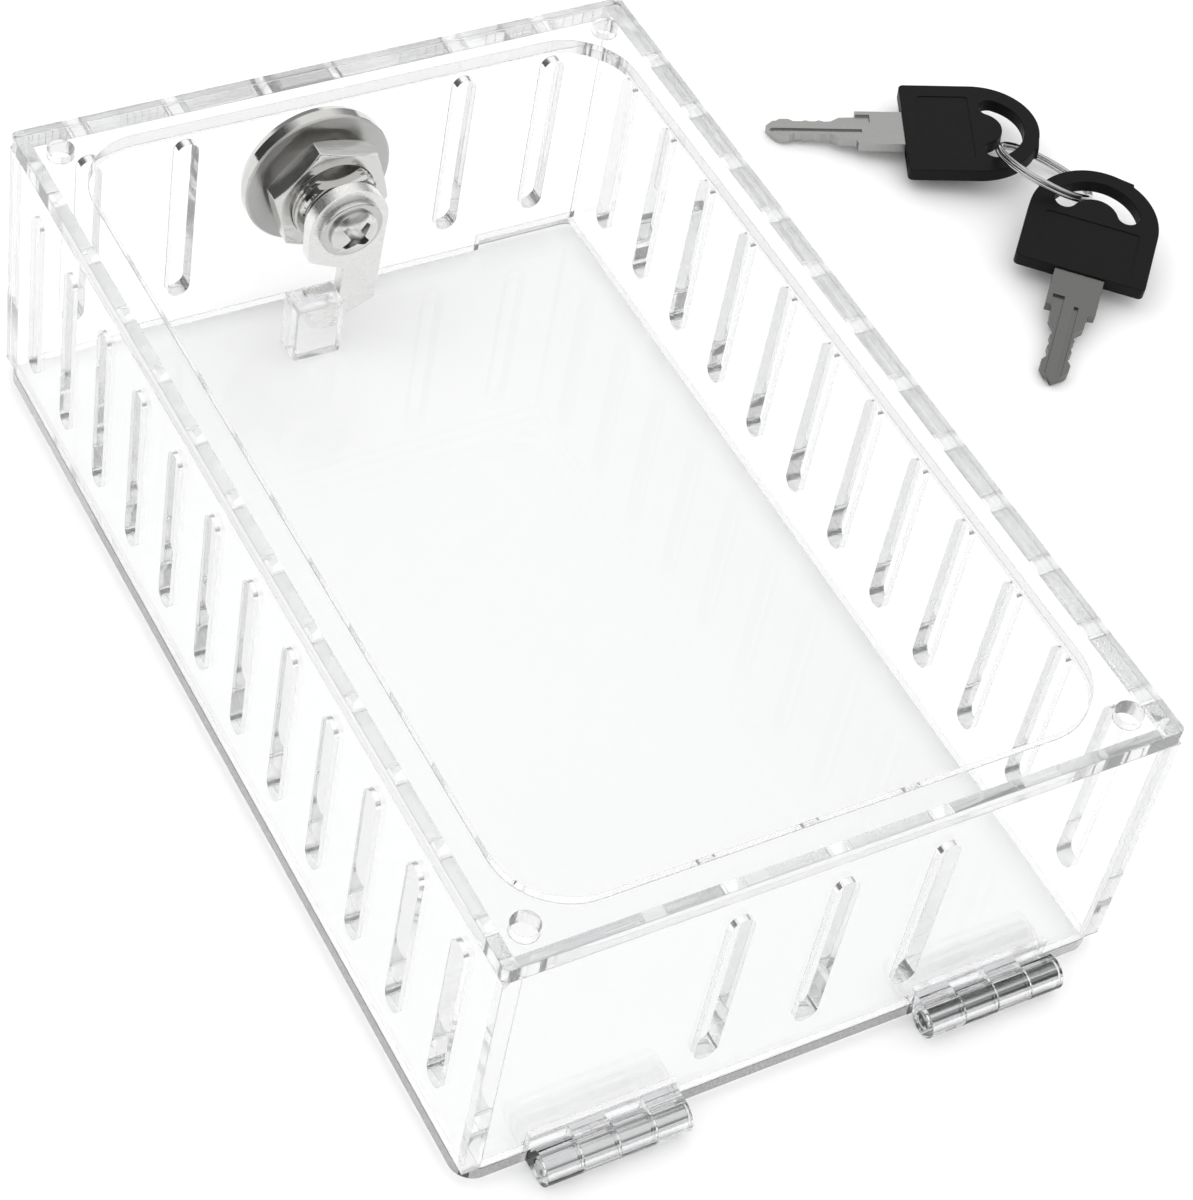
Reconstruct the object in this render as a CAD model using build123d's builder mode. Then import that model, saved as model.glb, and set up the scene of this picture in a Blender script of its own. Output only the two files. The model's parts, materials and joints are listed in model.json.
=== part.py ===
from build123d import *
import math
import os

os.makedirs("parts", exist_ok=True)

# Clear acrylic lock box for a wall thermostat, millimetres.
# The box lies lid down: the lid's outer face is z = 0 and the wall-mounting
# frame is on top. X runs across the box, Y from the hinge end to the lock end,
# and the origin is the centre of the lid's outer face.

# ---- driving dimensions: box -------------------------------------------------
box_w = 115.0            # across, X
box_l = 180.0            # along, Y
box_h = 55.0             # lid face to wall face, Z
sheet = 3.0              # acrylic sheet thickness
lid_gap = 0.2            # air gap between the closed lid and the walls
lid_corner_r = 4.0
frame_corner_r = 1.2
rim = 7.0                # width of the mounting frame around its opening
opening_r = 12.0         # corner radius of that opening
screw_hole_d = 4.4
screw_inset = 6.3        # hole centre to each outer edge

slot_w = 4.0             # vent slots
slot_len = 35.0
slot_mid_z = 28.5
side_slot_pitch = 14.2
side_slot_count = 12
end_slot_pitch = 17.7
finger_notch_len = 20.0  # prying notch under the lock end wall
finger_notch_h = 2.4

# ---- driving dimensions: hinges ----------------------------------------------
hinge_x = 34.0           # hinge centres at -x and +x
hinge_len = 25.0
barrel_r = 3.0
pin_d = 3.0
pin_hole_d = 3.1
hinge_off = 3.4          # pin axis to the hinge end wall's outer face
knuckle_gap = 0.2
leaf_h = 3.4             # welded strip, up the wall and into the lid

# ---- driving dimensions: cam lock --------------------------------------------
lock_z = 29.5            # lock axis height
bezel_d = 28.0
bezel_t = 5.0
barrel_d = 16.0
barrel_len = 10.8        # from the wall's outer face inwards
barrel_flat = 6.5        # half distance across the flats
bore_d = 11.0
plug_d = 10.9
plug_head_d = 12.6
plug_head_bore = 12.8
plug_head_t = 1.5
nut_ac = 23.3            # across corners
nut_t = 4.5
tail_d = 8.0             # double-D drive for the cam
tail_flat = 3.0
keyway_w = 2.4
keyway_h = 6.0
keyway_depth = 14.2
stop_t = 0.7
cam_t = 2.6
washer_t = 1.4
washer_d = 11.8
screw_head_d = 8.9
screw_head_t = 2.2
screw_d = 3.9

# ---- driving dimensions: lid catch -------------------------------------------
keeper_x0, keeper_x1 = -10.6, -1.3
keeper_cheek = 1.7       # closed side of the block, beyond the hook's tip
keeper_front = 18.6      # distances inwards from the lock end's outer face
keeper_mid = 14.6
keeper_back = 12.4
keeper_top = 15.5
ledge_z = 13.7
hook_r_in = 17.5
hook_r_out = 22.3

# ---- driving dimensions: keys ------------------------------------------------
key_t = 2.0
head_t = 2.8
head_w = 25.8
head_straight = 14.3
ring_r = 10.2
ring_w = 1.3
ring_t = 1.7
ring_at = (150.27, 67.54)
ring_tilt = 29.20
ring_low_dir = 20.465    # heading of the ring's low side, degrees from +X
ring_z = 6.075

hw, hl = box_w / 2, box_l / 2
wall_z0 = sheet + lid_gap
wall_z1 = box_h - sheet
wall_h = wall_z1 - wall_z0
wall_mid = (wall_z0 + wall_z1) / 2


def at_depth(d):
    """Y of a point d millimetres inside the lock end's outer face."""
    return hl - d


# ---- mounting frame ----------------------------------------------------------
with BuildPart() as mounting_frame:
    with BuildSketch(Plane.XY.offset(wall_z1)):
        RectangleRounded(box_w, box_l, frame_corner_r)
        RectangleRounded(box_w - 2 * rim, box_l - 2 * rim, opening_r, mode=Mode.SUBTRACT)
        with GridLocations(box_w - 2 * screw_inset, box_l - 2 * screw_inset, 2, 2):
            Circle(screw_hole_d / 2, mode=Mode.SUBTRACT)
    extrude(amount=sheet)
mounting_frame.part.label = "mounting_frame"

# ---- side walls, full length, with twelve slots each ---------------------------
with BuildPart() as left_wall:
    with BuildSketch(Plane.YZ.offset(-hw)):
        with Locations((0, wall_mid)):
            Rectangle(box_l, wall_h)
        with Locations((0, slot_mid_z)):
            with GridLocations(side_slot_pitch, 1, side_slot_count, 1):
                SlotOverall(slot_len, slot_w, rotation=90, mode=Mode.SUBTRACT)
    extrude(amount=sheet)
left_wall.part.label = "left_wall"

with BuildPart() as right_wall:
    with BuildSketch(Plane.YZ.offset(hw - sheet)):
        with Locations((0, wall_mid)):
            Rectangle(box_l, wall_h)
        with Locations((0, slot_mid_z)):
            with GridLocations(side_slot_pitch, 1, side_slot_count, 1):
                SlotOverall(slot_len, slot_w, rotation=90, mode=Mode.SUBTRACT)
    extrude(amount=sheet)
right_wall.part.label = "right_wall"

# ---- end walls, between the side walls -----------------------------------------
end_w = box_w - 2 * sheet
with BuildPart() as hinge_end_wall:
    with BuildSketch(Plane.XZ.offset(hl)):
        with Locations((0, wall_mid)):
            Rectangle(end_w, wall_h)
        with Locations((0, slot_mid_z)):
            with GridLocations(end_slot_pitch, 1, 3, 1):
                SlotOverall(slot_len, slot_w, rotation=90, mode=Mode.SUBTRACT)
        with Locations((-hinge_x, wall_z0 + leaf_h / 2), (hinge_x, wall_z0 + leaf_h / 2)):
            Rectangle(hinge_len, leaf_h, mode=Mode.SUBTRACT)
    extrude(amount=-sheet)
hinge_end_wall.part.label = "hinge_end_wall"

with BuildPart() as lock_end_wall:
    with BuildSketch(Plane.XZ.offset(-hl)):
        with Locations((0, wall_mid)):
            Rectangle(end_w, wall_h)
        slot_xs = [-2.5 * end_slot_pitch, -1.5 * end_slot_pitch, 1.5 * end_slot_pitch, 2.5 * end_slot_pitch]
        with Locations(*[(x, slot_mid_z) for x in slot_xs]):
            SlotOverall(slot_len, slot_w, rotation=90, mode=Mode.SUBTRACT)
        with Locations((end_w / 2 - finger_notch_len / 2, wall_z0 + finger_notch_h / 2)):
            Rectangle(finger_notch_len, finger_notch_h, mode=Mode.SUBTRACT)
    extrude(amount=sheet)
    # double-D hole for the lock barrel
    with BuildSketch(Plane.XZ.offset(-hl)):
        with Locations((0, lock_z)):
            Circle(barrel_d / 2 + 0.15)
            Rectangle(barrel_d + 2, 2 * (barrel_flat + 0.1), mode=Mode.INTERSECT)
    extrude(amount=sheet, mode=Mode.SUBTRACT)
lock_end_wall.part.label = "lock_end_wall"

# ---- lid -----------------------------------------------------------------------
with BuildPart() as lid:
    with BuildSketch():
        RectangleRounded(box_w, box_l, lid_corner_r)
        with Locations((-hinge_x, -hl + leaf_h / 2), (hinge_x, -hl + leaf_h / 2)):
            Rectangle(hinge_len, leaf_h, mode=Mode.SUBTRACT)
    extrude(amount=sheet)
lid.part.label = "lid"

# catch block, welded to the lid, with a pocket open to the right and rear for the cam's hook
with BuildPart() as lid_keeper:
    with BuildSketch(Plane.YZ.offset(keeper_x0)):
        with BuildLine():
            Polyline(
                (at_depth(keeper_front), sheet),
                (at_depth(keeper_mid), sheet),
                (at_depth(keeper_mid), ledge_z),
                (at_depth(keeper_back), ledge_z),
                (at_depth(keeper_back), keeper_top),
                (at_depth(keeper_front), keeper_top),
                close=True,
            )
        make_face()
    extrude(amount=keeper_x1 - keeper_x0)
    with BuildSketch(Plane.YZ.offset(keeper_x0)):
        with Locations((at_depth((keeper_mid + keeper_back) / 2), (sheet + ledge_z) / 2)):
            Rectangle(keeper_mid - keeper_back, ledge_z - sheet)
    extrude(amount=keeper_cheek)
lid_keeper.part.label = "lid_keeper"

# ---- hinges ----------------------------------------------------------------------
pin_y = -hl - hinge_off
pin_z = sheet + lid_gap / 2
pitch = hinge_len / 4


def knuckle_span(centre, index):
    x0 = centre - hinge_len / 2 + index * pitch + knuckle_gap / 2
    return x0, pitch - knuckle_gap


def wall_leaf(centre, indices):
    """Strip welded into the wall's lower edge, with its knuckles."""
    with BuildPart() as leaf:
        with BuildSketch(Plane.YZ.offset(centre - hinge_len / 2)):
            with Locations((-hl + sheet / 2, wall_z0 + leaf_h / 2)):
                Rectangle(sheet, leaf_h)
        extrude(amount=hinge_len)
        for i in indices:
            x0, width = knuckle_span(centre, i)
            with BuildSketch(Plane.YZ.offset(x0)):
                with Locations((pin_y, pin_z)):
                    Circle(barrel_r)
                with Locations((pin_y + hinge_off / 2, (wall_z0 + pin_z + barrel_r) / 2)):
                    Rectangle(hinge_off, pin_z + barrel_r - wall_z0)
            extrude(amount=width)
            with BuildSketch(Plane.YZ.offset(x0)):
                with Locations((pin_y, pin_z)):
                    Circle(pin_hole_d / 2)
            extrude(amount=width, mode=Mode.SUBTRACT)
    return leaf


def lid_leaf(centre, indices):
    """Strip welded into the lid's hinge edge, with its knuckles."""
    with BuildPart() as leaf:
        with BuildSketch(Plane.YZ.offset(centre - hinge_len / 2)):
            with Locations((-hl + leaf_h / 2, sheet / 2)):
                Rectangle(leaf_h, sheet)
        extrude(amount=hinge_len)
        for i in indices:
            x0, width = knuckle_span(centre, i)
            with BuildSketch(Plane.YZ.offset(x0)):
                with Locations((pin_y, pin_z)):
                    Circle(barrel_r)
                with Locations((pin_y + hinge_off / 2, (sheet + pin_z - barrel_r) / 2)):
                    Rectangle(hinge_off, sheet - (pin_z - barrel_r))
            extrude(amount=width)
            with BuildSketch(Plane.YZ.offset(x0)):
                with Locations((pin_y, pin_z)):
                    Circle(pin_hole_d / 2)
            extrude(amount=width, mode=Mode.SUBTRACT)
    return leaf


def hinge_pin(centre):
    """Straight steel pin through all four knuckles."""
    with BuildPart() as pin:
        with BuildSketch(Plane.YZ.offset(centre - hinge_len / 2 + 0.25)):
            with Locations((pin_y, pin_z)):
                Circle(pin_d / 2)
        extrude(amount=hinge_len - 0.5)
        chamfer(pin.edges().filter_by(GeomType.CIRCLE), 0.2)
    return pin


left_hinge_wall_leaf = wall_leaf(-hinge_x, (1, 3))
left_hinge_wall_leaf.part.label = "left_hinge_wall_leaf"
left_hinge_lid_leaf = lid_leaf(-hinge_x, (0, 2))
left_hinge_lid_leaf.part.label = "left_hinge_lid_leaf"
left_hinge_pin = hinge_pin(-hinge_x)
left_hinge_pin.part.label = "left_hinge_pin"
right_hinge_wall_leaf = wall_leaf(hinge_x, (0, 2))
right_hinge_wall_leaf.part.label = "right_hinge_wall_leaf"
right_hinge_lid_leaf = lid_leaf(hinge_x, (1, 3))
right_hinge_lid_leaf.part.label = "right_hinge_lid_leaf"
right_hinge_pin = hinge_pin(hinge_x)
right_hinge_pin.part.label = "right_hinge_pin"

# ---- lock housing: bezel outside, threaded barrel with two flats through the wall --
lock_axis = Axis((0, 0, lock_z), (0, 1, 0))
thread_pitch = 1.0
thread_depth = 0.55
front_y = hl + bezel_t

with BuildPart() as lock_housing:
    with BuildSketch(Plane.YZ):
        with BuildLine():
            r_b = barrel_d / 2
            rear = at_depth(barrel_len)
            pts = [(hl, lock_z + r_b)]
            y = hl - 3.6
            pts.append((y, lock_z + r_b))
            while y - thread_pitch > rear + 0.3:
                pts.append((y - 0.15, lock_z + r_b))
                pts.append((y - 0.5 * thread_pitch - 0.075, lock_z + r_b - thread_depth))
                pts.append((y - thread_pitch, lock_z + r_b))
                y -= thread_pitch
            pts.append((rear + 0.3, lock_z + r_b))
            pts.append((rear, lock_z + r_b - 0.4))
            pts.append((rear, lock_z + bore_d / 2))
            pts.append((front_y - plug_head_t - 0.1, lock_z + bore_d / 2))
            pts.append((front_y - plug_head_t - 0.1, lock_z + plug_head_bore / 2))
            pts.append((front_y - 0.4, lock_z + plug_head_bore / 2))
            pts.append((front_y, lock_z + plug_head_bore / 2 + 0.4))
            pts.append((front_y, lock_z + bezel_d / 2 - 3.2))
            pts.append((front_y - 0.5, lock_z + bezel_d / 2 - 1.7))
            pts.append((front_y - 1.5, lock_z + bezel_d / 2 - 0.5))
            pts.append((front_y - 2.8, lock_z + bezel_d / 2))
            pts.append((hl + 0.4, lock_z + bezel_d / 2))
            pts.append((hl, lock_z + bezel_d / 2 - 0.4))
            # drop repeated neighbours
            clean = [pts[0]]
            for p in pts[1:]:
                if math.dist(p, clean[-1]) > 1e-6:
                    clean.append(p)
            Polyline(*clean, close=True)
        make_face()
    revolve(axis=lock_axis)
    # flats above and below the axis, on the barrel only
    flat_h = 3.0
    with Locations(
        (0, at_depth(barrel_len / 2 + 0.5), lock_z + barrel_flat + flat_h / 2),
        (0, at_depth(barrel_len / 2 + 0.5), lock_z - barrel_flat - flat_h / 2),
    ):
        Box(barrel_d + 2, barrel_len + 1.0, flat_h, mode=Mode.SUBTRACT)
    # quarter-turn notch in the rear end, for the stop washer's tab
    with BuildSketch(Plane.XZ.offset(-at_depth(barrel_len - 1.8))):
        with Locations((0, lock_z)):
            Circle(barrel_d / 2 + 0.3)
            Circle(bore_d / 2 - 0.2, mode=Mode.SUBTRACT)
        with BuildLine():
            a0, a1 = math.radians(180 - 14), math.radians(270 + 14)
            mid = (a0 + a1) / 2
            c = (0, lock_z)
            far = 14.0
            Polyline(
                c,
                (far * math.cos(a0), lock_z + far * math.sin(a0)),
                (far * 1.2 * math.cos(mid), lock_z + far * 1.2 * math.sin(mid)),
                (far * math.cos(a1), lock_z + far * math.sin(a1)),
                close=True,
            )
        make_face(mode=Mode.INTERSECT)
    extrude(amount=1.8 + 0.5, mode=Mode.SUBTRACT)
lock_housing.part.label = "lock_housing"

# ---- hexagonal lock nut on the inside ------------------------------------------------
with BuildPart() as lock_nut:
    with BuildSketch(Plane.XZ.offset(-at_depth(sheet))):
        with Locations((0, lock_z)):
            RegularPolygon(nut_ac / 2, 6, rotation=46)
            Circle(barrel_d / 2 + 0.06, mode=Mode.SUBTRACT)
    extrude(amount=nut_t)
    with BuildSketch(Plane.YZ):
        with BuildLine():
            n0, n1 = at_depth(sheet), at_depth(sheet + nut_t)
            ro, ri = nut_ac / 2, nut_ac / 2 * math.cos(math.pi / 6) - 0.15
            Polyline(
                (n0, lock_z), (n0, lock_z + ri), (n0 - 0.75, lock_z + ro),
                (n1 + 0.75, lock_z + ro), (n1, lock_z + ri), (n1, lock_z), close=True,
            )
        make_face()
    revolve(axis=lock_axis, mode=Mode.INTERSECT)
lock_nut.part.label = "lock_nut"

# ---- lock plug: keyed front, wafer slots, double-D tail -------------------------------
plug_rear = at_depth(barrel_len + 0.1)
tail_end = plug_rear - stop_t - cam_t
plug_front = front_y - 0.1
wafer_t = 0.9
wafer_ys = [91.4, 89.5, 87.6, 85.7, 83.8]
with BuildPart() as lock_plug:
    with BuildSketch(Plane.YZ):
        with BuildLine():
            Polyline(
                (plug_front, lock_z),
                (plug_front, lock_z + plug_head_d / 2 - 0.3),
                (plug_front - 0.3, lock_z + plug_head_d / 2),
                (front_y - plug_head_t, lock_z + plug_head_d / 2),
                (front_y - plug_head_t, lock_z + plug_d / 2),
                (plug_rear, lock_z + plug_d / 2),
                (plug_rear, lock_z + tail_d / 2),
                (tail_end, lock_z + tail_d / 2),
                (tail_end, lock_z),
                close=True,
            )
        make_face()
    revolve(axis=lock_axis)
    # flats of the tail
    with Locations(
        (tail_flat + 2.0, (plug_rear + tail_end) / 2 - 0.5, lock_z),
        (-tail_flat - 2.0, (plug_rear + tail_end) / 2 - 0.5, lock_z),
    ):
        Box(4.0, plug_rear - tail_end + 1.0, 12.0, mode=Mode.SUBTRACT)
    # keyway from the front
    with Locations((0, plug_front - keyway_depth / 2, lock_z)):
        Box(keyway_w, keyway_depth, keyway_h, mode=Mode.SUBTRACT)
    # slots for the wafers, open at the top
    with Locations(*[(0, y, lock_z + 0.95) for y in wafer_ys]):
        Box(6.7, 1.0, 10.1, mode=Mode.SUBTRACT)
    # tapped hole for the cam screw
    with BuildSketch(Plane.XZ.offset(-tail_end)):
        with Locations((0, lock_z)):
            Circle(screw_d / 2 + 0.05)
    extrude(amount=-3.6, mode=Mode.SUBTRACT)
lock_plug.part.label = "lock_plug"

# ---- wafers: thin plates with a window, drawn in flush as with the key in --------------
with BuildPart() as plug_wafers:
    for y in wafer_ys:
        with BuildSketch(Plane.XZ.offset(-(y + wafer_t / 2))):
            with Locations((0, lock_z + 0.1)):
                Rectangle(6.6, 8.2)
            with Locations((0, lock_z)):
                Rectangle(2.4, 5.8, mode=Mode.SUBTRACT)
            with Locations((2.75, lock_z - 1.8)):
                Rectangle(1.2, 4.5, mode=Mode.SUBTRACT)
        extrude(amount=wafer_t)
plug_wafers.part.label = "plug_wafers"

# ---- one light coil spring beside each wafer -------------------------------------------
spring_r = 0.36
spring_wire = 0.12
spring_z0 = lock_z - 3.95
spring_h = 4.2
with BuildPart() as wafer_springs:
    for y in wafer_ys:
        with BuildLine() as coil:
            Helix(pitch=0.6, height=spring_h, radius=spring_r, center=(2.72, y, spring_z0))
        start = coil.line @ 0
        tangent = coil.line % 0
        with BuildSketch(Plane(origin=start, z_dir=tangent)):
            RegularPolygon(spring_wire, 8)
        sweep(path=coil.line)
wafer_springs.part.label = "wafer_springs"

# ---- stop washer with its tab, behind the cam -------------------------------------------
stop_y = plug_rear
with BuildPart() as stop_washer:
    with BuildSketch(Plane.XZ.offset(-stop_y)):
        with Locations((0, lock_z)):
            Circle(6.9)
    extrude(amount=stop_t)
    with BuildSketch(Plane.XZ.offset(-stop_y)):
        with Locations((0, lock_z)):
            Circle(tail_d / 2 + 0.05)
            Rectangle(2 * (tail_flat + 0.05), 20, mode=Mode.INTERSECT)
    extrude(amount=stop_t, mode=Mode.SUBTRACT)
    # tab at nine o'clock, reaching into the barrel's notch
    with Locations((-6.0, stop_y + 0.7, lock_z)):
        Box(0.8, 1.4, 2.4)
stop_washer.part.label = "stop_washer"

# ---- cam: round head, straight arm and a hook that sits under the keeper's ledge ----------
cam_y = stop_y - stop_t


def polar(r, deg):
    return (r * math.cos(math.radians(deg)), lock_z + r * math.sin(math.radians(deg)))


with BuildPart() as cam:
    with BuildSketch(Plane.XZ.offset(-cam_y)) as cam_sk:
        with BuildLine() as cam_line:
            head_x, arm_x = 7.6, 6.8
            low_right = (arm_x, lock_z - 19.3)
            heel = (0.6, lock_z - math.sqrt(hook_r_out**2 - 0.6**2))
            tip_out = polar(hook_r_out, 270 - 19.0)
            tip_in = polar(hook_r_in, 270 - 22.0)
            crook = (-0.45, lock_z - math.sqrt(hook_r_in**2 - 0.45**2))
            notch = (-0.1, lock_z - 10.4)
            cheek = (-7.3, lock_z - 6.8)
            l1 = Line((head_x, lock_z), low_right)
            l2 = Line(low_right, heel)
            l2b = ThreePointArc(heel, polar(hook_r_out, 261), tip_out)
            l3 = Line(tip_out, tip_in)
            l4 = ThreePointArc(tip_in, polar(hook_r_in, 270 - 11), crook)
            l5 = Line(crook, notch)
            l6 = Line(notch, cheek)
            l7 = Line(cheek, (-head_x, lock_z))
            l8 = ThreePointArc((-head_x, lock_z), (0, lock_z + head_x), (head_x, lock_z))
        make_face()
        corner_pts = [tip_out, tip_in, crook, notch, cheek, low_right, heel]
        radii = [1.4, 1.4, 1.0, 1.2, 1.6, 0.6, 1.5]
        for (px, pz), rad in zip(corner_pts, radii):
            v = cam_sk.vertices().sort_by_distance(Vector(px, pz, 0))[0]
            fillet(v, rad)
        with Locations((0, lock_z)):
            Circle(tail_d / 2 + 0.05, mode=Mode.SUBTRACT)
        with Locations((-tail_flat - 0.05 - 1.0, lock_z), (tail_flat + 0.05 + 1.0, lock_z)):
            Rectangle(2.0, 2 * math.sqrt((tail_d / 2 + 0.05) ** 2 - (tail_flat + 0.05) ** 2) + 0.4)
    extrude(amount=cam_t)
cam.part.label = "cam"

# ---- washer and cross-recess pan screw that hold the cam ------------------------------------
with BuildPart() as cam_washer:
    with BuildSketch(Plane.XZ.offset(-tail_end)):
        with Locations((0, lock_z)):
            Circle(washer_d / 2)
            Circle(screw_d / 2 + 0.15, mode=Mode.SUBTRACT)
    extrude(amount=washer_t)
    chamfer(cam_washer.faces().sort_by(Axis.Y)[0].outer_wire().edges(), 0.25)
    chamfer(cam_washer.faces().sort_by(Axis.Y)[-1].outer_wire().edges(), 0.4)
cam_washer.part.label = "cam_washer"

head_y = tail_end - washer_t
with BuildPart() as cam_screw:
    with BuildSketch(Plane.YZ):
        with BuildLine():
            rh = screw_head_d / 2
            Polyline((head_y + washer_t + 3.4, lock_z), (head_y + washer_t + 3.4, lock_z + screw_d / 2 - 0.4),
                     (head_y + washer_t + 3.0, lock_z + screw_d / 2), (head_y, lock_z + screw_d / 2),
                     (head_y, lock_z + rh - 0.35), (head_y - 0.35, lock_z + rh), (head_y - 0.7, lock_z + rh))
            dome_r = (rh**2 + (screw_head_t - 0.7) ** 2) / (2 * (screw_head_t - 0.7))
            dome_sag = dome_r - math.sqrt(dome_r**2 - rh**2 / 4)
            ThreePointArc((head_y - 0.7, lock_z + rh), (head_y - screw_head_t + dome_sag, lock_z + rh / 2),
                          (head_y - screw_head_t, lock_z))
            Line((head_y - screw_head_t, lock_z), (head_y + washer_t + 3.4, lock_z))
        make_face()
    revolve(axis=lock_axis)
    # cross recess
    with BuildSketch(Plane.XZ.offset(-(head_y - screw_head_t - 1.0))):
        with BuildLine():
            star = []
            for k in range(4):
                a = math.radians(47 + 90 * k)
                for u, v in ((3.15, -0.5), (3.15, 0.5), (0.95, 0.95)):
                    star.append((u * math.cos(a) - v * math.sin(a), lock_z + u * math.sin(a) + v * math.cos(a)))
            Polyline(*star, close=True)
        make_face()
    extrude(amount=-2.5, mode=Mode.SUBTRACT)
cam_screw.part.label = "cam_screw"

# ---- keys: steel blanks with moulded heads, on a split ring -----------------------------------
BLANK = [
    (12.0, 4.9), (-9.5, 4.9), (-9.4, 3.6), (-12.7, 3.45), (-14.4, 2.25), (-15.7, 2.15), (-16.7, 2.55),
    (-17.9, 2.0), (-19.4, 2.5), (-20.7, 1.98), (-21.7, 2.05), (-22.8, 2.85), (-24.6, 2.8), (-25.9, 1.8),
    (-27.5, 0.1), (-25.6, -2.0), (-24.8, -2.6), (-23.0, -2.7), (-21.8, -1.9), (-20.6, -1.85), (-19.8, -2.3),
    (-18.6, -1.85), (-17.6, -1.9), (-16.9, -2.3), (-15.9, -1.9), (-14.8, -1.9), (-13.1, -3.35), (-10.2, -3.45),
    (-9.6, -3.8), (-9.3, -4.9), (12.0, -4.9),
]


def key_plane(origin, heading, pitch, roll):
    """Plane through a key's mid thickness: x runs from the head's flat side towards its round end."""
    h, p, r = math.radians(heading), math.radians(pitch), math.radians(roll)
    x_dir = (math.cos(h) * math.cos(p), math.sin(h) * math.cos(p), math.sin(p))
    a, b = -math.sin(p) * math.cos(r), -math.sin(r)
    z_dir = (a * math.cos(h) - b * math.sin(h), a * math.sin(h) + b * math.cos(h), math.cos(p) * math.cos(r))
    return Plane(origin=origin, x_dir=x_dir, z_dir=z_dir)


def key_blade(plane):
    """Flat blank with a double-sided bitting and two milled grooves."""
    with BuildPart() as blade:
        with BuildSketch(plane.offset(-key_t / 2)):
            with BuildLine():
                Polyline(*BLANK, close=True)
            make_face()
        extrude(amount=key_t)
        # grooves on the upper face, with square run-outs at the shoulder
        with BuildSketch(plane.offset(key_t / 2 - 0.5)):
            with Locations((-17.9, 2.75)):
                Rectangle(22.6, 2.3)
            with Locations((-18.2, -1.0)):
                Rectangle(19.6, 0.9)
        extrude(amount=1.0, mode=Mode.SUBTRACT)
        # and one on the lower face
        with BuildSketch(plane.offset(-key_t / 2 - 0.5)):
            with Locations((-18.2, 0.7)):
                Rectangle(19.6, 1.1)
        extrude(amount=1.0, mode=Mode.SUBTRACT)
    return blade


def key_head(plane):
    """Moulded D-shaped head with a bean-shaped opening, around the blank's end."""
    with BuildPart() as head:
        with BuildSketch(plane.offset(-head_t / 2)) as sk:
            with BuildLine():
                h = head_w / 2
                Polyline((head_straight, h), (0, h), (0, -h), (head_straight, -h))
                ThreePointArc((head_straight, -h), (head_straight + h, 0), (head_straight, h))
            make_face()
            corners = sk.vertices().sort_by_distance(Vector(-1, 0, 0))[0:2]
            fillet(corners, 1.0)
            # small step left by the mould on the round end
            with BuildLine():

                def rim_pt(r, deg):
                    return (head_straight + r * math.cos(math.radians(deg)), r * math.sin(math.radians(deg)))

                Polyline(rim_pt(h - 0.6, -12), rim_pt(h, -13), rim_pt(h + 0.6, -26), rim_pt(h - 0.6, -29), close=True)
            make_face()
        extrude(amount=head_t)
        # bean-shaped opening
        with BuildSketch(plane.offset(-head_t / 2 - 1)):
            with BuildLine():
                c, r0, r1, half = 14.9, 4.8, 9.2, math.radians(65)
                r_mid, r_cap = (r0 + r1) / 2, (r1 - r0) / 2

                def arc_pt(r, a):
                    return (c + r * math.cos(a), r * math.sin(a))

                def cap_pt(sign):
                    end = arc_pt(r_mid, sign * half)
                    turn = sign * (half + math.pi / 2)
                    return (end[0] + r_cap * math.cos(turn), end[1] + r_cap * math.sin(turn))

                ThreePointArc(arc_pt(r1, -half), arc_pt(r1, 0), arc_pt(r1, half))
                ThreePointArc(arc_pt(r1, half), cap_pt(1), arc_pt(r0, half))
                ThreePointArc(arc_pt(r0, half), arc_pt(r0, 0), arc_pt(r0, -half))
                ThreePointArc(arc_pt(r0, -half), cap_pt(-1), arc_pt(r1, -half))
            make_face()
        extrude(amount=head_t + 2, mode=Mode.SUBTRACT)
        # shallow panel near the flat side, on the upper face
        with BuildSketch(plane.offset(head_t / 2 - 0.15)):
            with Locations((8.4, 0)):
                RectangleRounded(10.4, 19.0, 0.8)
        extrude(amount=1.0, mode=Mode.SUBTRACT)
        # pocket that holds the blank
        with BuildSketch(plane.offset(-key_t / 2)):
            with Locations((6.0, 0)):
                Rectangle(12.0, 9.8)
        extrude(amount=key_t, mode=Mode.SUBTRACT)
    return head


key_1_plane = key_plane((ring_at[0] - 19.456, ring_at[1] + 21.743, 3.755), -26.44, 5.635, -0.128)
key_2_plane = key_plane((ring_at[0] - 9.309, ring_at[1] - 26.904, 4.513), 46.874, 7.226, 0.098)

key_1_blade = key_blade(key_1_plane)
key_1_blade.part.label = "key_1_blade"
key_1_head = key_head(key_1_plane)
key_1_head.part.label = "key_1_head"
key_2_blade = key_blade(key_2_plane)
key_2_blade.part.label = "key_2_blade"
key_2_head = key_head(key_2_plane)
key_2_head.part.label = "key_2_head"

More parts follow.
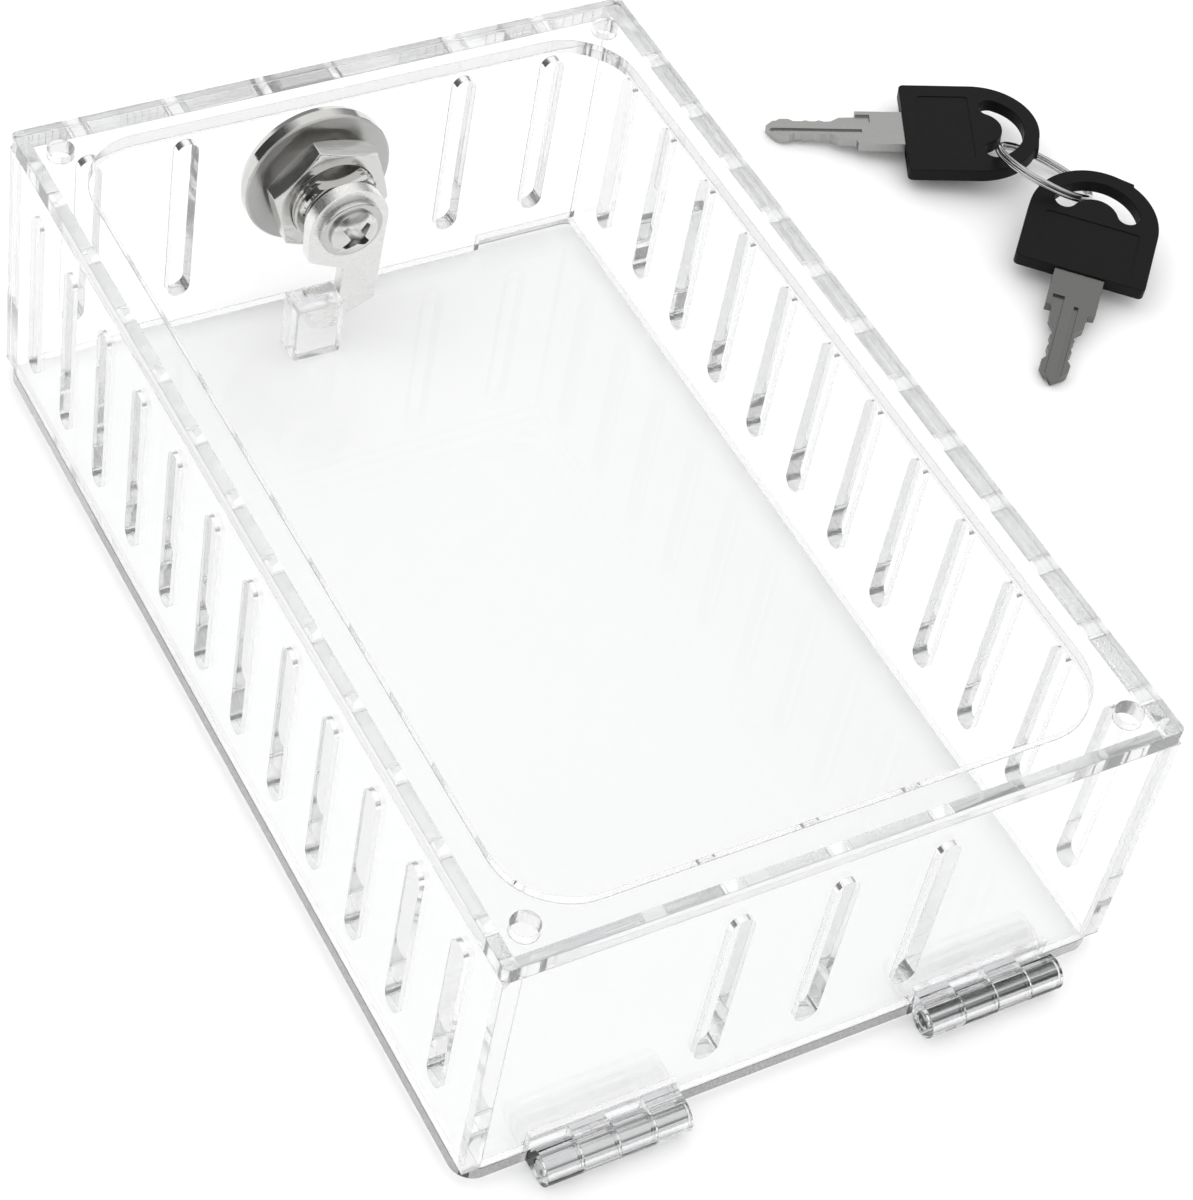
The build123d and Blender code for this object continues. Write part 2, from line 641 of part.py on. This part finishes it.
ring_dir = math.radians(ring_low_dir)
rt = math.radians(ring_tilt)
ring_plane = Plane(
    origin=(ring_at[0], ring_at[1], ring_z),
    x_dir=(math.cos(ring_dir) * math.cos(rt), math.sin(ring_dir) * math.cos(rt), -math.sin(rt)),
    z_dir=(math.cos(ring_dir) * math.sin(rt), math.sin(ring_dir) * math.sin(rt), math.cos(rt)),
)
ring_section = Plane(origin=ring_plane.origin, x_dir=ring_plane.x_dir, z_dir=-ring_plane.y_dir)
with BuildPart() as key_ring:
    with BuildSketch(ring_section):
        with BuildLine():
            ri, ro, ht = ring_r - ring_w / 2, ring_r + ring_w / 2, ring_t / 2
            Polyline(
                (ri + 0.3, -ht), (ro - 0.3, -ht), (ro, -ht + 0.3), (ro, -0.15), (ro - 0.15, 0), (ro, 0.15), (ro, ht - 0.3),
                (ro - 0.3, ht), (ri + 0.3, ht), (ri, ht - 0.3), (ri, 0.15), (ri + 0.15, 0), (ri, -0.15), (ri, -ht + 0.3),
                close=True,
            )
        make_face()
    revolve(axis=Axis(ring_plane.origin, ring_plane.z_dir))
key_ring.part.label = "key_ring"

nodes = {
    "mounting_frame": mounting_frame, "left_wall": left_wall, "right_wall": right_wall,
    "hinge_end_wall": hinge_end_wall, "lock_end_wall": lock_end_wall, "lid": lid, "lid_keeper": lid_keeper,
    "left_hinge_wall_leaf": left_hinge_wall_leaf, "left_hinge_lid_leaf": left_hinge_lid_leaf,
    "left_hinge_pin": left_hinge_pin, "right_hinge_wall_leaf": right_hinge_wall_leaf,
    "right_hinge_lid_leaf": right_hinge_lid_leaf, "right_hinge_pin": right_hinge_pin,
    "lock_housing": lock_housing, "lock_nut": lock_nut, "lock_plug": lock_plug, "plug_wafers": plug_wafers,
    "wafer_springs": wafer_springs, "stop_washer": stop_washer, "cam": cam, "cam_washer": cam_washer,
    "cam_screw": cam_screw, "key_1_blade": key_1_blade, "key_1_head": key_1_head, "key_2_blade": key_2_blade,
    "key_2_head": key_2_head, "key_ring": key_ring,
}
for name, piece in nodes.items():
    export_step(piece.part, f"parts/{name}.step")
    print(name, "volume", round(piece.part.volume, 2), "solids", len(piece.part.solids()))
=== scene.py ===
import json
import math

import bmesh
import bpy
from mathutils import Matrix, Vector


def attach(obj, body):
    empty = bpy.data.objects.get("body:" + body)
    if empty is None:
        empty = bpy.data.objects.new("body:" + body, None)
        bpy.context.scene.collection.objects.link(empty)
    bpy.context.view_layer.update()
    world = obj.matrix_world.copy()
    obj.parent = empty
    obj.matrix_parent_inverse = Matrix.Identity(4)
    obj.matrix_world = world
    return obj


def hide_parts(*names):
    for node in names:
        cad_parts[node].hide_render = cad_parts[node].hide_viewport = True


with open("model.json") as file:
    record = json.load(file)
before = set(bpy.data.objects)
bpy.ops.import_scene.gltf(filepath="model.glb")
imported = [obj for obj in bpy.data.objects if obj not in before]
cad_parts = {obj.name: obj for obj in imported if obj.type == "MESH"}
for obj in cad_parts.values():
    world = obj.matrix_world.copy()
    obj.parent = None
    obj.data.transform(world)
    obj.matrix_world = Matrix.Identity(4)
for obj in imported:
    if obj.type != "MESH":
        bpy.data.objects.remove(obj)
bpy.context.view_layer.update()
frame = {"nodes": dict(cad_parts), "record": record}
nodes = frame["nodes"]
scene = bpy.context.scene
scene.view_settings.view_transform = "Standard"
scene.view_settings.look = "None"

# ---- camera: solved from the box's corners and hinge, lock and hole centres, frame 1193 x 1200 --------
FX = 3277.578
ROT = Vector((2.386936, -0.528086, 0.398684))
TRANS = Vector((-12.06617, 7.41228, 553.85097)) / 1000.0
angle = ROT.length
R = Matrix.Rotation(angle, 3, ROT.normalized())
cam_pos = -(R.transposed() @ TRANS)
cam_data = bpy.data.cameras.new("camera")
cam_data.sensor_fit = "HORIZONTAL"
cam_data.sensor_width = 36.0
cam_data.lens = FX * 36.0 / 1193.0
cam_data.clip_start = 0.01
cam_data.clip_end = 20.0
cam = bpy.data.objects.new("camera", cam_data)
scene.collection.objects.link(cam)
axes = Matrix((R[0], -R[1], -R[2])).transposed()
cam.matrix_world = Matrix.Translation(cam_pos) @ axes.to_4x4()
scene.camera = cam


# ---- materials ------------------------------------------------------------------------------------------
def new_material(name):
    m = bpy.data.materials.new(name)
    m.use_nodes = True
    nt = m.node_tree
    nt.nodes.clear()
    out = nt.nodes.new("ShaderNodeOutputMaterial")
    bsdf = nt.nodes.new("ShaderNodeBsdfPrincipled")
    nt.links.new(bsdf.outputs["BSDF"], out.inputs["Surface"])
    return m, nt, bsdf, out


def noise(nt, scale, detail=2.0, rough=0.5, stretch=None):
    co = nt.nodes.new("ShaderNodeTexCoord")
    tex = nt.nodes.new("ShaderNodeTexNoise")
    tex.inputs["Scale"].default_value = scale
    tex.inputs["Detail"].default_value = detail
    tex.inputs["Roughness"].default_value = rough
    if stretch:
        mp = nt.nodes.new("ShaderNodeMapping")
        mp.inputs["Scale"].default_value = stretch
        nt.links.new(co.outputs["Object"], mp.inputs["Vector"])
        nt.links.new(mp.outputs["Vector"], tex.inputs["Vector"])
    else:
        nt.links.new(co.outputs["Object"], tex.inputs["Vector"])
    return tex


def ramp(nt, src, lo, hi, at=(0.3, 0.7)):
    r = nt.nodes.new("ShaderNodeMapRange")
    r.inputs["From Min"].default_value = at[0]
    r.inputs["From Max"].default_value = at[1]
    r.inputs["To Min"].default_value = lo
    r.inputs["To Max"].default_value = hi
    nt.links.new(src, r.inputs["Value"])
    return r.outputs["Result"]


def bump(nt, bsdf, src, strength, distance):
    b = nt.nodes.new("ShaderNodeBump")
    b.inputs["Strength"].default_value = strength
    b.inputs["Distance"].default_value = distance
    nt.links.new(src, b.inputs["Height"])
    nt.links.new(b.outputs["Normal"], bsdf.inputs["Normal"])


def acrylic(name, tint=(0.985, 0.99, 0.99), rough=(0.0, 0.015), cut=None, grit=2200.0, haze_and_painted_shade=0.93, gloss=1.0):
    """Clear plastic; cut gives the share of light that a sawn edge scatters, lowest and highest, and haze its grey.
    Near white that grey is frosting; well below white it is painted shade, drawing dark lines along rims, slots and
    arrises.
    """
    m, nt, bsdf, out = new_material(name)
    bsdf.inputs["Base Color"].default_value = (*tint, 1.0)
    bsdf.inputs["Transmission Weight"].default_value = 1.0
    bsdf.inputs["IOR"].default_value = 1.49
    bsdf.inputs["Specular Tint"].default_value = (gloss, gloss, gloss, 1.0)
    n = noise(nt, 60.0, 3.0)
    nt.links.new(ramp(nt, n.outputs["Fac"], *rough), bsdf.inputs["Roughness"])
    # lamps reach through the clear sheet
    clear = nt.nodes.new("ShaderNodeBsdfTransparent")
    clear.inputs["Color"].default_value = (1.0, 1.0, 1.0, 1.0)
    path = nt.nodes.new("ShaderNodeLightPath")
    surface = bsdf.outputs["BSDF"]
    if cut:
        # frosted edge in the haze grey; where that grey is well below white it is painted shade
        white = nt.nodes.new("ShaderNodeBsdfDiffuse")
        white.inputs["Color"].default_value = (haze_and_painted_shade, haze_and_painted_shade + 0.003, haze_and_painted_shade + 0.005, 1.0)
        through = nt.nodes.new("ShaderNodeBsdfTranslucent")
        through.inputs["Color"].default_value = (haze_and_painted_shade, haze_and_painted_shade + 0.003, haze_and_painted_shade + 0.005, 1.0)
        both = nt.nodes.new("ShaderNodeMixShader")
        both.inputs["Fac"].default_value = 0.3
        nt.links.new(white.outputs["BSDF"], both.inputs[1])
        nt.links.new(through.outputs["BSDF"], both.inputs[2])
        grain = noise(nt, grit, 3.0, 0.6)
        sawn = nt.nodes.new("ShaderNodeMixShader")
        nt.links.new(ramp(nt, grain.outputs["Fac"], *cut), sawn.inputs["Fac"])
        nt.links.new(surface, sawn.inputs[1])
        nt.links.new(both.outputs["Shader"], sawn.inputs[2])
        surface = sawn.outputs["Shader"]
    mix = nt.nodes.new("ShaderNodeMixShader")
    nt.links.new(path.outputs["Is Shadow Ray"], mix.inputs["Fac"])
    nt.links.new(surface, mix.inputs[1])
    nt.links.new(clear.outputs["BSDF"], mix.inputs[2])
    nt.links.new(mix.outputs["Shader"], out.inputs["Surface"])
    return m


def metal(name, color, rough, scale=300.0, stretch=None, bump_strength=0.0, painted_hollow_shade=None):
    """Metal; hollow = (distance, colour) paints shade into grooves and recesses: ambient occlusion darkens the base
    colour there towards that colour.
    """
    m, nt, bsdf, out = new_material(name)
    bsdf.inputs["Base Color"].default_value = (*color, 1.0)
    bsdf.inputs["Metallic"].default_value = 1.0
    if painted_hollow_shade:
        # painted shade: ambient occlusion darkens the base colour in grooves, recesses and between parts
        ao = nt.nodes.new("ShaderNodeAmbientOcclusion")
        ao.only_local = True
        ao.samples = 8
        ao.inputs["Distance"].default_value = painted_hollow_shade[0]
        mixc = nt.nodes.new("ShaderNodeMix")
        mixc.data_type = "RGBA"
        mixc.inputs["A"].default_value = (*painted_hollow_shade[1], 1.0)
        mixc.inputs["B"].default_value = (*color, 1.0)
        nt.links.new(ramp(nt, ao.outputs["AO"], 0.0, 1.0, (0.45, 0.95)), mixc.inputs["Factor"])
        nt.links.new(mixc.outputs["Result"], bsdf.inputs["Base Color"])
    n = noise(nt, scale, 3.0, stretch=stretch)
    nt.links.new(ramp(nt, n.outputs["Fac"], *rough), bsdf.inputs["Roughness"])
    if bump_strength:
        bump(nt, bsdf, n.outputs["Fac"], bump_strength, 0.0001)
    return m


def plastic(name, color, rough, grain=900.0, depth=0.00003):
    m, nt, bsdf, out = new_material(name)
    n = noise(nt, grain, 3.0, 0.6)
    mixc = nt.nodes.new("ShaderNodeMix")
    mixc.data_type = "RGBA"
    mixc.inputs["A"].default_value = (*color, 1.0)
    mixc.inputs["B"].default_value = (*[c * 1.35 + 0.002 for c in color], 1.0)
    nt.links.new(n.outputs["Fac"], mixc.inputs["Factor"])
    nt.links.new(mixc.outputs["Result"], bsdf.inputs["Base Color"])
    nt.links.new(ramp(nt, n.outputs["Fac"], *rough), bsdf.inputs["Roughness"])
    bsdf.inputs["Specular IOR Level"].default_value = 0.11
    bump(nt, bsdf, n.outputs["Fac"], 0.4, depth)
    return m


M_CLEAR = acrylic("clear_acrylic", (0.995, 0.997, 0.997), gloss=0.1)
# painted shade: the sawn rims, slots and arrises get greys well below white, which draw dark outlines along the sheets
M_EDGE = acrylic("sawn_acrylic_edge", (0.99, 0.993, 0.993), (0.01, 0.05), cut=(0.14, 0.19), haze_and_painted_shade=0.68)
M_LID_EDGE = acrylic("sawn_lid_edge", (0.99, 0.993, 0.993), (0.02, 0.06), cut=(0.30, 0.50), haze_and_painted_shade=0.97)
M_VENT = acrylic("cut_acrylic_slot", (0.99, 0.993, 0.993), (0.0, 0.03), cut=(0.12, 0.17), haze_and_painted_shade=0.42)
M_ARRIS = acrylic("acrylic_arris", (0.99, 0.993, 0.993), (0.0, 0.03), cut=(0.40, 0.46), haze_and_painted_shade=0.36)
M_CATCH = acrylic("frosted_catch_block", (0.99, 0.992, 0.992), (0.02, 0.04), cut=(0.10, 0.13), grit=900.0)
M_HINGE = acrylic("clear_hinge_plastic", (0.96, 0.965, 0.97), (0.01, 0.05))
# painted shade in the thread grooves and recesses of the plated lock parts
M_NICKEL = metal("nickel_plate", (0.62, 0.615, 0.60), (0.05, 0.12), 250.0, painted_hollow_shade=(0.0009, (0.12, 0.12, 0.115)))
M_HOUSING = metal("nickel_housing", (0.62, 0.615, 0.60), (0.05, 0.12), 250.0, painted_hollow_shade=(0.0009, (0.12, 0.12, 0.115)))
M_WASHER = metal("washer_steel", (0.60, 0.60, 0.595), (0.12, 0.2), 600.0)
M_NUT = metal("nut_plate", (0.72, 0.715, 0.70), (0.14, 0.24), 500.0, (1, 6, 1), 0.25)
# painted shade in the screw head's cross recess
M_SCREW = metal("screw_plate", (0.74, 0.74, 0.73), (0.14, 0.22), 500.0, painted_hollow_shade=(0.0014, (0.25, 0.25, 0.25)))
M_PIN = metal("hinge_pin_steel", (0.5, 0.5, 0.505), (0.10, 0.18), 500.0)
M_PLATED = metal("plated_sheet", (0.82, 0.82, 0.81), (0.22, 0.36), 900.0, (1, 1, 12), 0.15)



def dull_back(mat, y, colour):
    """The bezel's flat back, at one value of Y, is bare casting, duller than the plating."""
    nt = mat.node_tree
    bsdf = next(n for n in nt.nodes if n.type == "BSDF_PRINCIPLED")
    co = nt.nodes.new("ShaderNodeTexCoord")
    xyz = nt.nodes.new("ShaderNodeSeparateXYZ")
    nt.links.new(co.outputs["Object"], xyz.inputs["Vector"])
    near = nt.nodes.new("ShaderNodeMath")
    near.operation = "COMPARE"
    near.inputs[1].default_value = y
    near.inputs[2].default_value = 0.0003
    nt.links.new(xyz.outputs["Y"], near.inputs[0])
    mixc = nt.nodes.new("ShaderNodeMix")
    mixc.data_type = "RGBA"
    mixc.inputs["B"].default_value = (*colour, 1.0)
    nt.links.new(bsdf.inputs["Base Color"].links[0].from_socket, mixc.inputs["A"])
    nt.links.new(near.outputs["Value"], mixc.inputs["Factor"])
    nt.links.new(mixc.outputs["Result"], bsdf.inputs["Base Color"])
    # lathe marks round the axis spread the reflections into a fan
    turned = nt.nodes.new("ShaderNodeTangent")
    turned.direction_type = "RADIAL"
    turned.axis = "Y"
    nt.links.new(turned.outputs["Tangent"], bsdf.inputs["Tangent"])
    grooves = nt.nodes.new("ShaderNodeMath")
    grooves.operation = "MULTIPLY"
    grooves.inputs[1].default_value = 0.9
    nt.links.new(near.outputs["Value"], grooves.inputs[0])
    nt.links.new(grooves.outputs["Value"], bsdf.inputs["Anisotropic"])
    mixr = nt.nodes.new("ShaderNodeMix")
    mixr.data_type = "FLOAT"
    mixr.inputs["B"].default_value = 0.34
    nt.links.new(bsdf.inputs["Roughness"].links[0].from_socket, mixr.inputs["A"])
    nt.links.new(near.outputs["Value"], mixr.inputs["Factor"])
    nt.links.new(mixr.outputs["Result"], bsdf.inputs["Roughness"])


def die_lines_and_painted_reflection(mat, dark, light, scale):
    """Long die lines along a straight pin: fine bands round it, constant along X. Their near-black and light bands
    also stand in for painted reflections of the studio's dark and bright parts.
    """
    nt = mat.node_tree
    bsdf = next(n for n in nt.nodes if n.type == "BSDF_PRINCIPLED")
    lines = noise(nt, scale, 2.0, 0.5, stretch=(0.01, 1.0, 1.0))
    mixc = nt.nodes.new("ShaderNodeMix")
    mixc.data_type = "RGBA"
    mixc.inputs["A"].default_value = (dark, dark, dark, 1.0)
    mixc.inputs["B"].default_value = (light, light, light, 1.0)
    nt.links.new(ramp(nt, lines.outputs["Fac"], 0.0, 1.0, (0.42, 0.58)), mixc.inputs["Factor"])
    nt.links.new(mixc.outputs["Result"], bsdf.inputs["Base Color"])


# painted reflection: near-black to light stripes on the hinge pins, together with real die lines
die_lines_and_painted_reflection(M_PIN, 0.05, 0.62, 900.0)
dull_back(M_HOUSING, 0.090, (0.56, 0.555, 0.545))
M_KEY = metal("key_steel", (0.38, 0.38, 0.375), (0.25, 0.42), 1200.0, (1, 6, 6), 0.2)
# painted shade: a darker copy of the key steel for key 2's blade, standing in for the dark reflections on its shoulder
M_KEY_PAINTED_DARK = metal("key_steel_painted_dark", (0.16, 0.16, 0.157), (0.22, 0.40), 1200.0, (6, 1, 6), 0.2)
M_WIRE = metal("steel_wire", (0.5, 0.5, 0.5), (0.08, 0.16), 400.0)
M_BRASS = metal("brass", (0.75, 0.58, 0.28), (0.2, 0.35), 500.0)
M_BLACK = plastic("black_plastic", (0.0045, 0.0045, 0.005), (0.38, 0.55))

LOOK = {
    "clear_acrylic": M_CLEAR,
    "nickel_plate": M_NICKEL,
    "plated_steel": M_PLATED,
    "bright_steel_wire": M_WIRE,
    "brass": M_BRASS,
    "black_plastic": M_BLACK,
}
slot_of = {s["node"]: s["material_slot"] for s in frame["record"]["subparts"]}
body_of = {n: b for b, ns in frame["record"]["behaviour"]["bodies"].items() for n in ns}
for name, obj in nodes.items():
    mat = LOOK[slot_of[name]]
    if name.endswith("_blade"):
        # key 2's blade gets the darker copy of the key steel, as painted shade
        mat = M_KEY_PAINTED_DARK if name == "key_2_blade" else M_KEY
    if "hinge" in name and "leaf" in name:
        mat = M_HINGE
    if "hinge_pin" in name:
        mat = M_PIN
    if name == "cam_screw":
        mat = M_SCREW
    if name in ("cam_washer", "stop_washer"):
        mat = M_WASHER
    if name == "lock_housing":
        mat = M_HOUSING
    if name == "lock_nut":
        mat = M_NUT
    obj.data.materials.clear()
    obj.data.materials.append(mat)


# ---- softened copies of the CAD pieces --------------------------------------------------------------------
def finish_mesh(me, sharp=32.0):
    me.shade_smooth()
    me.set_sharp_from_angle(angle=math.radians(sharp))


def flatten_normals(obj):
    """Large flat faces keep their own normal, and only the small rounded edges turn."""
    mod = obj.modifiers.new("even", "WEIGHTED_NORMAL")
    mod.mode = "FACE_AREA"
    mod.weight = 100
    mod.thresh = 0.0001
    mod.keep_sharp = True
    bpy.context.view_layer.update()
    baked = bpy.data.meshes.new_from_object(obj.evaluated_get(bpy.context.evaluated_depsgraph_get()))
    obj.modifiers.remove(mod)
    obj.data = baked


def reach(edge, face):
    """How far a face goes from one of its edges."""
    a = edge.verts[0].co
    d = (edge.verts[1].co - a).normalized()
    return max(((v.co - a) - (v.co - a).dot(d) * d).length for v in face.verts)


def soften(name, width, segments=2, inset=0.0, limit=28.0, material=None, sawn=None, thin=0.0):
    """A copy of a CAD node with small rounded edges, which stands for the node.
    Edges of faces narrower than thin stay sharp.
    sawn is the axis across a flat sheet: faces round its rim and in its slots get the cut look."""
    src = nodes[name]
    bm = bmesh.new()
    bm.from_mesh(src.data)
    bmesh.ops.remove_doubles(bm, verts=bm.verts, dist=2e-6)
    bmesh.ops.dissolve_limit(bm, angle_limit=math.radians(0.6), verts=bm.verts, edges=bm.edges)
    bmesh.ops.recalc_face_normals(bm, faces=bm.faces)
    if inset:
        bm.normal_update()
        move = {}
        for v in bm.verts:
            # shift each vertex so that every face round it moves in by the inset
            ns = []
            for f in v.link_faces:
                if all((f.normal - n).length > 0.05 for n in ns):
                    ns.append(f.normal.copy())
            a = Matrix(((0,) * 3,) * 3)
            b = Vector()
            for n in ns:
                for i in range(3):
                    b[i] += n[i] * inset
                    for j in range(3):
                        a[i][j] += n[i] * n[j]
            for i in range(3):
                a[i][i] += 1e-4
            move[v] = -(a.inverted() @ b)
        for v, d in move.items():
            if d.length > inset * 3:
                d = d.normalized() * inset * 3
            v.co += d
    edges = [
        e for e in bm.edges
        if len(e.link_faces) == 2 and e.calc_face_angle(0.0) > math.radians(limit)
        and (not thin or min(reach(e, f) for f in e.link_faces) > thin)
    ]
    if width:
        bmesh.ops.bevel(
            bm, geom=edges, offset=width, offset_type="OFFSET", segments=segments, profile=0.5,
            affect="EDGES", clamp_overlap=True,
        )
    if sawn is not None:
        bm.normal_update()
        lo = [min(v.co[i] for v in bm.verts) for i in range(3)]
        hi = [max(v.co[i] for v in bm.verts) for i in range(3)]
        for f in bm.faces:
            if abs(f.normal[sawn]) > 0.985:
                continue
            if abs(f.normal[sawn]) > 0.15:
                f.material_index = 3
                continue
            c = f.calc_center_median()
            rim = min(min(c[i] - lo[i], hi[i] - c[i]) for i in range(3) if i != sawn)
            f.material_index = 1 if rim < 0.0006 else 2
    me = bpy.data.meshes.new(name + "_look")
    bm.to_mesh(me)
    bm.free()
    finish_mesh(me)
    me.materials.append(material or src.data.materials[0])
    if sawn is not None:
        me.materials.append(M_LID_EDGE if name == "lid" else M_EDGE)
        me.materials.append(M_VENT)
        me.materials.append(M_ARRIS)
    obj = bpy.data.objects.new(name + "_look", me)
    scene.collection.objects.link(obj)
    flatten_normals(obj)
    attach(obj, body_of[name])
    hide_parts(name)
    return obj


GAP = 0.00003
for n, across in (("mounting_frame", 2), ("left_wall", 0), ("right_wall", 0), ("hinge_end_wall", 1),
                  ("lock_end_wall", 1), ("lid", 2)):
    soften(n, 0.0002, 2, GAP, sawn=across)
soften("lid_keeper", 0.0007, 3, GAP, material=M_CATCH)
for n in ("left_hinge_wall_leaf", "left_hinge_lid_leaf", "right_hinge_wall_leaf", "right_hinge_lid_leaf"):
    soften(n, 0.00042, 3, GAP)
for n in ("cam", "lock_nut", "cam_washer", "stop_washer"):
    soften(n, 0.00015, 2)
for n in ("key_1_head", "key_2_head"):
    soften(n, 0.00045, 3, thin=0.0003)
for n in ("key_1_blade", "key_2_blade"):
    soften(n, 0.0001, 2)


def split_ring():
    """The key ring as it is made: flat wire wound twice round, crossing over once."""
    low, tilt = math.radians(20.465), math.radians(29.20)
    centre = Vector((0.15027, 0.06754, 0.006075))
    ex = Vector((math.cos(low) * math.cos(tilt), math.sin(low) * math.cos(tilt), -math.sin(tilt)))
    ez = Vector((math.cos(low) * math.sin(tilt), math.sin(low) * math.sin(tilt), math.cos(tilt)))
    ey = ez.cross(ex)
    radius, half_w, half_t, layer = 0.0102, 0.00058, 0.00040, 0.00043
    cross, turn0 = math.radians(13), math.radians(-62)
    t0, t1 = cross + 0.03, 4 * math.pi - cross - 0.03
    steps, sides = 260, 14
    bm = bmesh.new()
    loops = []
    for i in range(steps + 1):
        t = t0 + (t1 - t0) * i / steps
        u = min(1.0, max(0.0, (t - (2 * math.pi - cross)) / (2 * cross)))
        off = layer * (2 * (u * u * (3 - 2 * u)) - 1)
        er = ex * math.cos(t + turn0) + ey * math.sin(t + turn0)
        mid = centre + er * radius + ez * off
        shrink = 1.0 if 1 < i < steps - 1 else (0.93 if i in (1, steps - 1) else 0.75)
        ring = []
        for k in range(sides):
            a = 2 * math.pi * k / sides
            ca, sa = math.cos(a), math.sin(a)
            q = (abs(ca) ** 3 + abs(sa) ** 3) ** (-1 / 3)
            ring.append(bm.verts.new(mid + er * (ca * q * half_w * shrink) + ez * (sa * q * half_t * shrink)))
        loops.append(ring)
    for a, b in zip(loops, loops[1:]):
        for k in range(sides):
            bm.faces.new((a[k], a[(k + 1) % sides], b[(k + 1) % sides], b[k]))
    bm.faces.new(loops[0][::-1])
    bm.faces.new(loops[-1])
    bmesh.ops.recalc_face_normals(bm, faces=bm.faces)
    me = bpy.data.meshes.new("key_ring_look")
    bm.to_mesh(me)
    bm.free()
    finish_mesh(me, 40.0)
    me.materials.append(M_WIRE)
    obj = bpy.data.objects.new("key_ring_look", me)
    scene.collection.objects.link(obj)
    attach(obj, body_of["key_ring"])
    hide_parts("key_ring")


split_ring()

# ---- floor and light ------------------------------------------------------------------------------------------
floor_mesh = bpy.data.meshes.new("floor")
s = 4.0
z = -0.0003
floor_mesh.from_pydata([(-s, -s, z), (s, -s, z), (s, s, z), (-s, s, z)], [], [(0, 1, 2, 3)])
floor = bpy.data.objects.new("floor", floor_mesh)
scene.collection.objects.link(floor)
fm, fnt, fb, fo = new_material("floor")
fb.inputs["Base Color"].default_value = (0.96, 0.96, 0.96, 1.0)
fb.inputs["Roughness"].default_value = 0.85
fb.inputs["Specular IOR Level"].default_value = 0.1
floor_mesh.materials.append(fm)


def area(name, loc, target, size, power):
    d = bpy.data.lights.new(name, "AREA")
    d.shape = "RECTANGLE"
    d.size, d.size_y = size
    d.energy = power
    o = bpy.data.objects.new(name, d)
    o.location = loc
    o.rotation_euler = (Vector(target) - Vector(loc)).to_track_quat("-Z", "Y").to_euler()
    scene.collection.objects.link(o)
    return o


area("key_softbox", (-0.9, 0.7, 1.5), (0, 0, 0.02), (0.9, 0.9), 1.2)

# a white tent for the clear sheet and the floor; polished metal also sees the studio's dark parts
world = bpy.data.worlds.new("studio")
scene.world = world
world.use_nodes = True
wnt = world.node_tree
wnt.nodes.clear()
wout = wnt.nodes.new("ShaderNodeOutputWorld")
wco = wnt.nodes.new("ShaderNodeTexCoord")
sep = wnt.nodes.new("ShaderNodeSeparateXYZ")
wnt.links.new(wco.outputs["Generated"], sep.inputs["Vector"])


def grey_ramp(src, stops):
    node = wnt.nodes.new("ShaderNodeValToRGB")
    wnt.links.new(src, node.inputs["Fac"])
    els = node.color_ramp.elements
    for k, (pos, val) in enumerate(stops):
        e = els[k] if k < 2 else els.new(pos)
        e.position, e.color = pos, (val, val, val, 1)
    return node.outputs["Color"]


def flag(direction, stops):
    dot = wnt.nodes.new("ShaderNodeVectorMath")
    dot.operation = "DOT_PRODUCT"
    dot.inputs[1].default_value = Vector(direction).normalized()
    wnt.links.new(wco.outputs["Generated"], dot.inputs[0])
    return grey_ramp(dot.outputs["Value"], stops)


def times(a, b):
    mul = wnt.nodes.new("ShaderNodeMix")
    mul.data_type = "RGBA"
    mul.blend_type = "MULTIPLY"
    mul.inputs["Factor"].default_value = 1.0
    wnt.links.new(a, mul.inputs["A"])
    wnt.links.new(b, mul.inputs["B"])
    return mul.outputs["Result"]


tent = wnt.nodes.new("ShaderNodeBackground")
tent.inputs["Strength"].default_value = 1.24
wnt.links.new(
    times(
        grey_ramp(sep.outputs["Z"], [(0.0, 0.95), (1.0, 1.0), (0.03, 0.86), (0.20, 0.88), (0.42, 1.0)]),
        flag((-0.45, -0.85, 0.25), [(0.90, 1.0), (0.96, 0.45)]),
    ),
    tent.inputs["Color"],
)
studio = wnt.nodes.new("ShaderNodeBackground")
studio.inputs["Strength"].default_value = 1.1
wnt.links.new(
    times(
        times(
            grey_ramp(sep.outputs["Z"], [(0.0, 0.8), (1.0, 1.0), (0.05, 0.25), (0.30, 0.35), (0.55, 0.95)]),
            flag((-0.65, 0.65, 0.35), [(0.75, 1.0), (0.93, 0.09)]),
        ),
        flag((-0.45, -0.85, 0.25), [(0.88, 1.0), (0.95, 0.22)]),
    ),
    studio.inputs["Color"],
)
wpath = wnt.nodes.new("ShaderNodeLightPath")
wmix = wnt.nodes.new("ShaderNodeMixShader")
wnt.links.new(wpath.outputs["Is Glossy Ray"], wmix.inputs["Fac"])
wnt.links.new(tent.outputs["Background"], wmix.inputs[1])
wnt.links.new(studio.outputs["Background"], wmix.inputs[2])
wnt.links.new(wmix.outputs["Shader"], wout.inputs["Surface"])

# light passes many times inside the clear sheet before it leaves
scene.cycles.blur_glossy = 0.0
scene.cycles.max_bounces = 28
scene.cycles.glossy_bounces = 16
scene.cycles.transmission_bounces = 20
scene.cycles.transparent_max_bounces = 24
